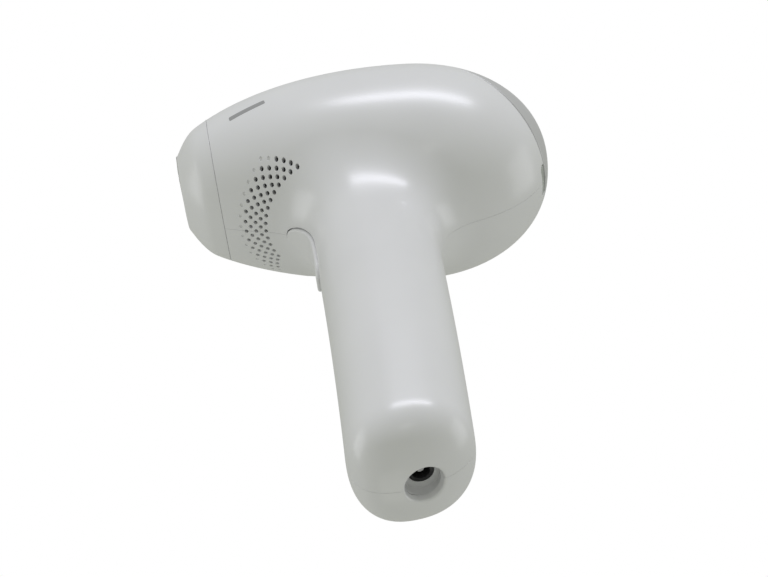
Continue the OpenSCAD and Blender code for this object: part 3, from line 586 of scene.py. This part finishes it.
# these get no bevel: scene pieces replace the shells, and the spring is round already
SMOOTH = {"housing_right", "housing_left", "control_panel", "attachment_shell", "trigger_spring"}
for node, o in frame["nodes"].items():
    o.data.materials.clear()
    o.data.materials.append(FINISH[slots[node]])
    if node in SMOOTH:
        continue
    weld = o.modifiers.new("weld", "WELD")
    weld.merge_threshold = 2e-6
    bevel = o.modifiers.new("bevel", "BEVEL")
    bevel.width = 0.00012
    bevel.segments = 2
    bevel.limit_method = "ANGLE"
    bevel.angle_limit = math.radians(50)
    bevel.harden_normals = True


# ---------------------------------------------------------------- the moulded body
def at_panel(x, y, z=0.0):
    return HEAD + PANEL[0] * x + PANEL[1] * y + PANEL[2] * z


FULL_PHI = 240
N_PHI = FULL_PHI
SCALE = N_PHI / FULL_PHI
points, quads = body_grid(N_PHI, int(92 * SCALE), int(18 * SCALE), int(40 * SCALE), int(24 * SCALE) + 4)
skin = Skin(points, quads)
if (skin.normals * (points - ROOT)).sum() < 0:
    quads = [f[::-1] for f in quads]
    skin = Skin(points, quads)
base = Sheet(points, quads)

VENT = np.array([[1.0, 0, 0], [0, -1.0, 0], [0, 0, -1.0]])
VENT_AT = np.array([0.0, 55.9, 0.0])
VENT_ROWS, VENT_HOLES, VENT_R = 14, 6, 0.75
VENT_FIRST, VENT_PITCH, VENT_WIND = 61.3, 6.7, 3.7  # degrees round VENT_AT
VENT_R0, VENT_OUT = 23.2, 1.65
FAINT_SIZE, DIMPLE = 0.8, 0.3
vents, dimples = [], []
for row in range(VENT_ROWS):
    for k in range(VENT_HOLES):
        a = math.radians(VENT_FIRST - VENT_PITCH * row - VENT_WIND * k)
        r = VENT_R0 + VENT_OUT * k
        at = (r * math.sin(a), r * math.cos(a))
        faint = k == VENT_HOLES - 1 or (row in (0, VENT_ROWS - 1) and k > 3)
        vents.append(circle(*at, VENT_R * (FAINT_SIZE if faint else 1), 20))
        if faint:
            dimples.append((skin.under(VENT_AT, VENT, at, 80.0), DIMPLE))
base.cut(skin, VENT_AT, VENT, [finer(v, 0.3) for v in vents], 0.9, 5, 60)

BUTTON_GAP, TRIGGER_GAP, LAMP_GAP, PANEL_GAP = 0.35, 0.22, 0.1, 0.15
TRIGGER_RIM, LIGHT_RIM, MOUTH_RIM, SCREW_RIM, BUTTON_RIM, FINE_RIM = 0.25, 0.3, 0.75, 0.3, 0.3, 0.12
TRIGGER_W, TRIGGER_H = 5.2, 16.0
INLET_R, INLET_BACK = 5.3, 2.7
pill = tongue(TRIGGER_W + TRIGGER_GAP + TRIGGER_RIM, TRIGGER_H + TRIGGER_GAP + TRIGGER_RIM)
base.cut(skin, TRIGGER_POS, TRIGGER, [finer(pill, 0.8)], 1.2, -14, 14)

LIGHT_SLOT, LIGHT_LENS = (5.45, 1.8, 1.79), (5.3, 1.65, 1.6)  # half sizes and corner radius
light_dir = np.array([0, 0.979, -0.205])
light_at = HEAD + light_dir * reach(HEAD[None], light_dir[None], 60.0)[0]
light_n = skin.normal(light_at)
LIGHT = turned(math.degrees(math.atan2(-light_n[1], light_n[2])))
slot = rounded(*(size + LIGHT_RIM for size in LIGHT_SLOT))
base.cut(skin, light_at, LIGHT, [finer(slot, 0.6)], 1.0, -10, 10)

tip = ROOT + DOWN * GRIP_LEN + BACK * (bow(np.array(GRIP_LEN)) + INLET_BACK)
MOUTH = np.array([X, -INLET[1], -INLET[2]])
base.cut(skin, tip, MOUTH, [circle(0, 0, INLET_R + MOUTH_RIM, 72)], 1.0, -20, 10)

SIDE = np.array([[0, 0, 1.0], [0, 1.0, 0], [-1.0, 0, 0]])
SCREWS, SCREW_R = [(37.0, 27.0), (104.5, -9.0), (81.9, -114.8), (44.0, -17.0)], 3
for y, z in SCREWS:
    base.cut(skin, np.zeros(3), SIDE, [circle(z, y, SCREW_R + SCREW_RIM, 40)], 1.0, 3, 60)

POWER_R, LEVEL_R, LAMP_R = 7.0, 5.0, 1.2
POWER, UP, DOWN_B = (0.0, -13.0), (10.5, 9.5), (-10.5, 9.5)
LAMPS = [(x, 0.5) for x in (-10.0, -5.0, 0.0, 5.0, 10.0)]
holes = [finer(circle(*POWER, POWER_R + BUTTON_GAP + BUTTON_RIM, 80), 1)]
holes += [circle(*p, LEVEL_R + BUTTON_GAP + BUTTON_RIM, 64) for p in (UP, DOWN_B)]
holes += [circle(*p, LAMP_R + LAMP_GAP + FINE_RIM, 24) for p in LAMPS]
base.cut(skin, HEAD, PANEL, holes, 1.0, 12, 60)

MID_RIM, MID_GAP = 0.05, 0.02
FRONT_GAP, FRONT_RIM, PANEL_RIM = 0.02, 0.08, 0.3
PANEL_TOP = 28
# each opening's place, how far its edge reaches from there, and the edge's radius
SPOTS = [(TRIGGER_POS, 20.5, TRIGGER_RIM), (light_at, 8.0, LIGHT_RIM), (tip, 12.0, MOUTH_RIM)]
SPOTS += [(at_panel(*POWER, PANEL_TOP), 12.0, BUTTON_RIM)]
SPOTS += [(at_panel(*p, PANEL_TOP), 8.0, BUTTON_RIM) for p in (UP, DOWN_B)]


def rim(p):
    """Radius of the rounded edge at p."""
    if abs(p[0]) < MID_GAP + MID_RIM + 0.02:
        return MID_RIM
    if abs((p @ FRONT[1]) - (SEAM + FRONT_GAP + FRONT_RIM)) < 0.03:
        return FRONT_RIM
    if abs(abs((p - HEAD) @ PANEL[2] - PANEL_CUT) - PANEL_GAP - PANEL_RIM) < 0.03:
        return PANEL_RIM
    for x, y in LAMPS:
        if np.linalg.norm((PANEL @ (p - HEAD))[:2] - (x, y)) < LAMP_R + 0.4:
            return FINE_RIM
    for c, r, size in SPOTS:
        if np.linalg.norm(p - c) < r:
            return size
    for y, z in SCREWS:
        if p[0] < -4 and math.hypot(p[1] - y, p[2] - z) < 5:
            return SCREW_RIM
    return FINE_RIM


for side, name in ((1, "housing_right"), (-1, "housing_left")):
    part = base.copy()
    part.keep((side * (MID_GAP + MID_RIM), 0, 0), (side, 0, 0))
    part.keep(tuple(FRONT[1] * (SEAM + FRONT_GAP + FRONT_RIM)), tuple(FRONT[1]))
    part.keep(tuple(HEAD + PANEL[2] * (PANEL_CUT - PANEL_GAP - PANEL_RIM)), tuple(-PANEL[2]))
    solid = Solid()
    shell(solid, part, skin, rim, WALL, blind=dimples)
    solid.make(name + "_moulding", FINISH["white_shell"], BODY, [name])

part = base.copy()
part.keep(tuple(HEAD + PANEL[2] * (PANEL_CUT + PANEL_GAP + PANEL_RIM)), tuple(PANEL[2]))
solid = Solid()
shell(solid, part, skin, rim, WALL)
solid.make("control_panel_cover", FINISH["silver_panel"], BODY, ["control_panel"])


# ---------------------------------------------------------------- buttons, trigger, light window and mark
def cap(name, origin, axes, outline, edge, rise, thick, material_, body, nodes, marks=(), dish=0.0, rings=14):
    """A piece that follows the surface inside an outline drawn in a frame, standing proud by rise.

    Returns what Solid.make takes, after the solid itself.
    """
    axes = np.array(axes)
    half = np.abs(outline).max(0)
    small = outline * ((half - edge) / half)
    n = len(small)
    flat = np.concatenate([np.zeros((1, 2))] + [small * (i / rings) for i in range(1, rings + 1)])
    pts = np.array([skin.under(origin, axes, p) for p in flat])
    faces = [(0, 1 + i, 1 + (i + 1) % n) for i in range(n)]
    for j in range(rings - 1):
        a, b = 1 + j * n, 1 + (j + 1) * n
        faces += [(a + i, b + i, b + (i + 1) % n, a + (i + 1) % n) for i in range(n)]
    if dish:
        far = ((flat / (half - edge)) ** 2).sum(1)
        pts -= axes[2] * (dish * np.clip(1 - far, 0, 1) ** 2)[:, None]
    solid = Solid()
    shell(solid, Sheet(pts, faces), skin, lambda p: edge, thick, rise)
    for m in marks:
        raised(solid, origin, axes, m, rise, dish)
    return solid, name, material_, body, nodes


def raised(solid, origin, axes, path, rise, sink, width=0.32, height=0.14):
    """A raised line along a path on the surface, with a rounded top."""
    rings = []
    for i, p in enumerate(path):
        d = path[min(i + 1, len(path) - 1)] - path[max(i - 1, 0)]
        side = np.array([-d[1], d[0]]) / max(np.linalg.norm(d), 1e-9)
        ring = []
        for off, h in ((-1, -0.25), (-1, 0.4), (-0.6, 1), (0.6, 1), (1, 0.4), (1, -0.25)):
            f = p + side * off * width
            q = skin.under(origin, axes, f)
            ring.append(q + skin.normal(q) * (rise - sink + h * height))
        rings.append(np.array(ring))
    loft(solid, rings)


def arc(r, a0, a1, n=28):
    t = np.radians(np.linspace(a0, a1, n))
    return np.stack([r * np.cos(t), r * np.sin(t)], 1)


def line(p, q, n=8):
    return np.array(p) + (np.array(q) - np.array(p)) * np.linspace(0, 1, n)[:, None]


BOARD_Z, BOARD_T, SWITCH_H, BUTTON_TRAVEL = 22.4, 1.4, 3.4, 0.6
SWITCH_TOP = BOARD_Z + BOARD_T + SWITCH_H + BUTTON_TRAVEL + 0.1
BUTTONS = {
    "power_button": (POWER, POWER_R, [arc(2.1, 125, 415), line((0, 0.8), (0, 2.9))]),
    "intensity_up_button": (UP, LEVEL_R, [line((-1.5, 0), (1.5, 0)), line((0, -1.5), (0, 1.5), 9)]),
    "intensity_down_button": (DOWN_B, LEVEL_R, [line((-1.5, 0), (1.5, 0))]),
}
for name, (at, r, marks) in BUTTONS.items():
    solid, *how = cap(name + "_cap", at_panel(*at), PANEL, circle(0, 0, r, 72), 0.4, 0.6, 2.4,
                      FINISH["white_button"], name, [name], marks, 0.2)
    top = (skin.hit(at_panel(*at, 80), -PANEL[2]) - HEAD) @ PANEL[2]
    tube(solid, at_panel(*at, SWITCH_TOP), PANEL[2], 2.0, 0.6, top - 1.6 - SWITCH_TOP)
    solid.make(*how)

lens = rounded(*LIGHT_LENS)
solid, *how = cap("ready_light_lens", light_at, LIGHT, lens, 0.25, -0.3, 2.1, FINISH["light_lens"], BODY,
                  ["ready_light_window"])
solid.make(*how)

TRIGGER_RISE, SWITCH_FRONT = 1.0, -12.0
pill = finer(tongue(TRIGGER_W, TRIGGER_H), 0.9)
solid, *how = cap("flash_trigger_cap", TRIGGER_POS, TRIGGER, pill, 0.7, TRIGGER_RISE, 3.2,
                  FINISH["white_button"], "flash_trigger", ["flash_trigger"], rings=18)
flange = finer(tongue(TRIGGER_W + 1.3, TRIGGER_H - 1.1), 0.9)
deep, *_ = cap("flange", TRIGGER_POS, TRIGGER, flange, 0.2, -2.6, 1.2, None, None, None, rings=6)
solid.add(deep.pts, deep.faces)
stem = TRIGGER_POS + TRIGGER[2] * (SWITCH_FRONT + 0.05)
tube(solid, stem, TRIGGER[2], 1.6, 0.5, 6.5)
solid.make(*how)

mark_at, MARK_TILT = np.array([0.0, 26.4, -0.1]), math.radians(18)
bar = finer(rounded(6.1, 1.2, 0.45, 5), 0.4)
c, s = math.cos(MARK_TILT), math.sin(MARK_TILT)
MARK = np.array([[0, c, s], [0, -s, c], [1.0, 0, 0]])
solid, *how = cap("side_mark_bar", mark_at, MARK, bar, 0.08, 0.06, 0.4, FINISH["grey_print"], BODY,
                  ["side_mark"], rings=8)
solid.make(*how)


# ---------------------------------------------------------------- attachment
def nose_r(depth, theta):
    """Radius of the head round the window axis, in the face's own frame."""
    start = FRONT[1] * depth
    v = np.cos(theta)[:, None] * FRONT[0] + np.sin(theta)[:, None] * FRONT[2]
    return reach(np.broadcast_to(start, v.shape), v, 45.0)


# depth behind the face, and the section's size there as a share of the head's
NOSE = np.array([
    [12.0, 1], [9, 1], [7.6, 0.998], [6.7, 0.993], [5.9, 0.982], [5.1, 0.965], [4.3, 0.942], [3.5, 0.912],
    [2.8, 0.881], [2.1, 0.844], [1.5, 0.806], [0.94, 0.768], [0.6, 0.745], [0.4, 0.73], [0.3, 0.71],
])
N_RING = 168
theta = np.arange(N_RING) * 2 * np.pi / N_RING


def at_face(r, depth):
    """A ring of radius r at a depth behind the face."""
    r = np.broadcast_to(r, theta.shape)
    flat = (np.cos(theta) * r)[:, None] * FRONT[0] + (np.sin(theta) * r)[:, None] * FRONT[2]
    return flat + FRONT[1] * depth


def box_r(w, h, c):
    """Radius of a rounded rectangle at each angle."""
    shape = finer(rounded(w, h, c, 24), 0.1)
    a = np.arctan2(shape[:, 1], shape[:, 0]) % (2 * np.pi)
    order = np.argsort(a)
    return np.interp(theta, a[order], np.linalg.norm(shape, axis=1)[order], period=2 * np.pi)


seam_out = SEAM - FRONT_GAP
FLAT = 0.3
straight, curved = np.linspace(seam_out - FRONT_RIM, 8.2, 9), np.linspace(7.9, 0.8, 30)
depths = np.concatenate([straight, curved, [0.6, 0.45, 0.35, FLAT]])
sizes = np.interp(depths, NOSE[::-1, 0], NOSE[::-1, 1])
for _ in range(3):
    sizes[1:-1] = (sizes[:-2] + 2 * sizes[1:-1] + sizes[2:]) / 4
rings = []
edge_r = nose_r(seam_out - FRONT_RIM, theta)
for k in range(ROWS, 0, -1):
    t = math.pi / 2 * k / ROWS
    rings.append(at_face(edge_r - FRONT_RIM * (1 - math.cos(t)), seam_out - FRONT_RIM * (1 - math.sin(t))))
rings += [at_face(nose_r(d, theta) * k, d) for d, k in zip(depths, sizes)]
hole = box_r(9.9, 7.5, 3.5)
last = nose_r(FLAT, theta) * sizes[-1]
for k in (0.85, 0.6, 0.35, 0.12):
    rings.append(at_face(hole + 0.35 + (last - hole - 0.35) * k, FLAT - 0.03 * (1 - k)))
rings += [at_face(hole + 0.1, FLAT - 0.02), at_face(hole, FLAT + 0.08), at_face(hole, 1.9)]
inner = box_r(9.3, 6.8, 2.0)
rings += [at_face(inner, 1.92), at_face(inner, 4.36), at_face(16.0, 4.4), at_face(21.3, seam_out - 0.02)]
rings += [at_face(21.5, seam_out)]
solid = Solid()
loft(solid, rings, closed=True)
solid.faces = [f[::-1] for f in solid.faces]


def block(solid, lo, hi, edge=0.15):
    """A box in the face's frame with chamfered edges."""
    lo, hi = np.array(lo, float), np.array(hi, float)
    mid, half = (lo + hi) / 2, (hi - lo) / 2
    rings = []
    for end, inset in ((-1, edge), (-1, 0), (1, 0), (1, edge)):
        y = half[1] if inset else half[1] - edge
        a, b = half[0] - inset, half[2] - inset
        c, d = a - edge, b - edge
        ring = [(a, d), (c, b), (-c, b), (-a, d), (-a, -d), (-c, -b), (c, -b), (a, -d)]
        rings.append(np.array([FRONT.T @ (mid + [p[0], end * y, p[1]]) for p in ring]))
    loft(solid, rings)


CLIP_X = 17.2
for m in (-1, 1):
    xs = sorted((m * (CLIP_X - 2), m * CLIP_X))
    block(solid, (xs[0], 5.5, -3.5), (xs[1], SEAM + 4, 3.5))
    xs = sorted((m * (CLIP_X - 0.2), m * (CLIP_X + 0.6)))
    block(solid, (xs[0], SEAM + 2.8, -3.5), (xs[1], SEAM + 4, 3.5))
block(solid, (-5, 9, 12.6), (5, SEAM - 0.8, 17.4))
solid.make("attachment_moulding", FINISH["white_attachment"], "attachment", ["attachment_shell"], 40)


# ---------------------------------------------------------------- backdrop, light and camera
def aim(o, towards):
    o.rotation_euler = (Vector(towards) - o.location).to_track_quat("-Z", "Y").to_euler()


AZ, EL, ROLL = math.radians(12.0), math.radians(54.58), math.radians(-7.56)
DIST, TX, TY = 508.86, -7.81, -38.48
view_v = np.array([math.cos(AZ) * math.cos(EL), math.sin(AZ) * math.cos(EL), -math.sin(EL)])
view_r = np.array([-math.sin(AZ), math.cos(AZ), 0.0])
view_u = np.cross(view_v, view_r)
cam_r = math.cos(ROLL) * view_r - math.sin(ROLL) * view_u
cam_u = math.sin(ROLL) * view_r + math.cos(ROLL) * view_u
target = HEAD + TX * cam_r + TY * cam_u
spot = (target + DIST * view_v) * MM
cam = bpy.data.objects.new("camera", bpy.data.cameras.new("camera"))
bpy.context.collection.objects.link(cam)
columns = np.stack([cam_r, cam_u, view_v, spot], 1)
cam.matrix_world = Matrix(columns.tolist() + [[0, 0, 0, 1]])
cam.data.sensor_width = 36
cam.data.lens = 72.3
cam.data.clip_start, cam.data.clip_end = 0.01, 20
bpy.context.scene.camera = cam

floor_m = material("floor", (0.9, 0.9, 0.9), 0.9, tint=0.01, grain=4, patch=400)
floor_b = floor_m.node_tree.nodes["Principled BSDF"]
floor_b.inputs["Emission Color"].default_value = (1, 1, 1, 1)
floor_b.inputs["Emission Strength"].default_value = 0.35
me = bpy.data.meshes.new("floor")
half, level = 9, -0.9
corners = [(-half, -half, level), (half, -half, level), (half, half, level), (-half, half, level)]
me.from_pydata(corners, [], [(0, 1, 2, 3)])
me.materials.append(floor_m)
floor = bpy.data.objects.new("floor", me)
bpy.context.collection.objects.link(floor)
floor.visible_diffuse = floor.visible_glossy = False

world = bpy.context.scene.world or bpy.data.worlds.new("world")
bpy.context.scene.world = world
world.use_nodes = True
tree = world.node_tree
room = tree.nodes["Background"]
room.inputs["Color"].default_value = (1.0, 1.025, 0.93, 1)
room.inputs["Strength"].default_value = 0.42
paper = tree.nodes.new("ShaderNodeBackground")
paper.inputs["Color"].default_value = (1, 1, 1, 1)
path = tree.nodes.new("ShaderNodeLightPath")
mix = tree.nodes.new("ShaderNodeMixShader")
tree.links.new(path.outputs["Is Camera Ray"], mix.inputs["Fac"])
tree.links.new(room.outputs["Background"], mix.inputs[1])
tree.links.new(paper.outputs["Background"], mix.inputs[2])
tree.links.new(mix.outputs["Shader"], tree.nodes["World Output"].inputs["Surface"])


def lamp(name, right, up, near, size, power, tall=None, colour=(1, 1, 1)):
    """A soft area light placed in the camera's axes, in metres from the head."""
    data = bpy.data.lights.new(name, "AREA")
    data.energy = power
    data.size = size
    data.color = colour
    if tall:
        data.shape = "RECTANGLE"
        data.size_y = tall
    o = bpy.data.objects.new(name, data)
    bpy.context.collection.objects.link(o)
    o.location = (HEAD * MM) + right * cam_r + up * cam_u + near * view_v
    aim(o, HEAD * MM)
    return o


lamp("key", 0.05, 1.0, 0.08, 0.8, 4.6, 0.16, (0.95, 0.95, 1.06))
lamp("front", 0.07, 0.42, 0.9, 0.12, 0.15)
lamp("right", 1.0, 0.0, 0.0, 0.6, 1.5, 0.6, (0.98, 0.99, 1.03))
lamp("below", 0.0, -0.95, 0.45, 0.6, 0.9, 0.6, (1.0, 1.01, 0.96))
lamp("left", -1.0, 0.0, 0.0, 0.6, 1.8, 0.6, (0.98, 0.99, 1.03))
bpy.context.scene.view_settings.view_transform = "Standard"
